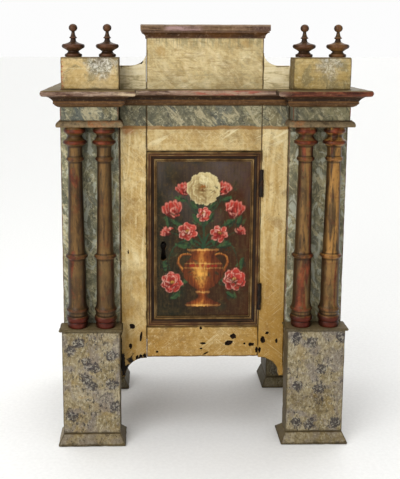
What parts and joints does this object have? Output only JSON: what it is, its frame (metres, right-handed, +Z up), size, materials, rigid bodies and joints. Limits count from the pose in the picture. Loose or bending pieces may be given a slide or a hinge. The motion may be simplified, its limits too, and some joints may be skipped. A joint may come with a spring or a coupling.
{
  "type": "altar tabernacle",
  "caption": "Painted wooden altar tabernacle: a cabinet on splayed feet with a locked hinged door between turned columns, a stepped cornice and a raised crest.",
  "frame": {"origin": "bottom centre of the bounding box, on the surface that the feet stand on", "axes": "+X to the viewer's right, +Y away from the viewer towards the back, +Z up"},
  "size_m": [0.668, 0.42, 0.9003],
  "materials": {
    "sponged_paint": "satin oil paint, sponged",
    "marbled_paint": "satin oil paint, marbled",
    "cream_paint": "worn satin oil paint",
    "bronzed_paint": "bronzed paint, worn to red ground",
    "red_brown_paint": "worn satin paint",
    "door_frame_paint": "dark varnished paint with gilt lines",
    "door_panel_paint": "varnished painting on wood",
    "bare_wood": "planed, unpainted",
    "iron": "forged, dark"
  },
  "bodies": {
    "cabinet": {"pedestal_left": "sponged_paint", "pedestal_foot_left": "sponged_paint", "pedestal_cap_left": "sponged_paint", "rear_leg_left": "sponged_paint", "rear_foot_left": "sponged_paint", "pedestal_right": "sponged_paint", "pedestal_foot_right": "sponged_paint", "pedestal_cap_right": "sponged_paint", "rear_leg_right": "sponged_paint", "rear_foot_right": "sponged_paint", "pilaster_board_left": "marbled_paint", "frieze_block_left": "marbled_paint", "pilaster_board_right": "marbled_paint", "frieze_block_right": "marbled_paint", "stile_board_left": "cream_paint", "attic_block_left": "cream_paint", "crest_side_left": "cream_paint", "stile_board_right": "cream_paint", "attic_block_right": "cream_paint", "crest_side_right": "cream_paint", "bottom_rail": "cream_paint", "head_panel": "cream_paint", "column_inner_left": "bronzed_paint", "column_outer_left": "bronzed_paint", "finial_inner_left": "bronzed_paint", "finial_outer_left": "bronzed_paint", "column_inner_right": "bronzed_paint", "column_outer_right": "bronzed_paint", "finial_inner_right": "bronzed_paint", "finial_outer_right": "bronzed_paint", "architrave_moulding_left": "red_brown_paint", "cornice_front_left": "red_brown_paint", "cornice_side_left": "red_brown_paint", "architrave_moulding_right": "red_brown_paint", "cornice_front_right": "red_brown_paint", "cornice_side_right": "red_brown_paint", "cornice_centre": "red_brown_paint", "crown_moulding": "red_brown_paint", "crown_board": "red_brown_paint", "roof_board": "red_brown_paint", "side_wall_left": "bare_wood", "side_wall_right": "bare_wood", "back_board": "bare_wood", "case_bottom": "bare_wood", "crest_back": "bare_wood", "chamber_floor": "bare_wood", "chamber_ceiling": "bare_wood", "chamber_side_left": "bare_wood", "chamber_side_right": "bare_wood", "hinge_cabinet_leaf_top": "iron", "hinge_cabinet_leaf_bottom": "iron"},
    "door": {"door_stile_latch": "door_frame_paint", "door_stile_hinge": "door_frame_paint", "door_rail_top": "door_frame_paint", "door_rail_bottom": "door_frame_paint", "door_panel": "door_panel_paint", "hinge_door_leaf_top": "iron", "hinge_door_leaf_bottom": "iron", "lock_case": "iron"},
    "bolt": {"lock_bolt": "iron"}
  },
  "joints": [
    {"name": "door_hinge", "type": "hinge", "parent": "cabinet", "child": "door", "pos_m": [0.122, -0.134, 0.443], "axis": [0, 0, 1], "range_deg": [0, 130]},
    {"name": "bolt_slide", "type": "slide", "parent": "door", "child": "bolt", "axis": [-1, 0, 0], "range_m": [0, 0.014]}
  ]
}
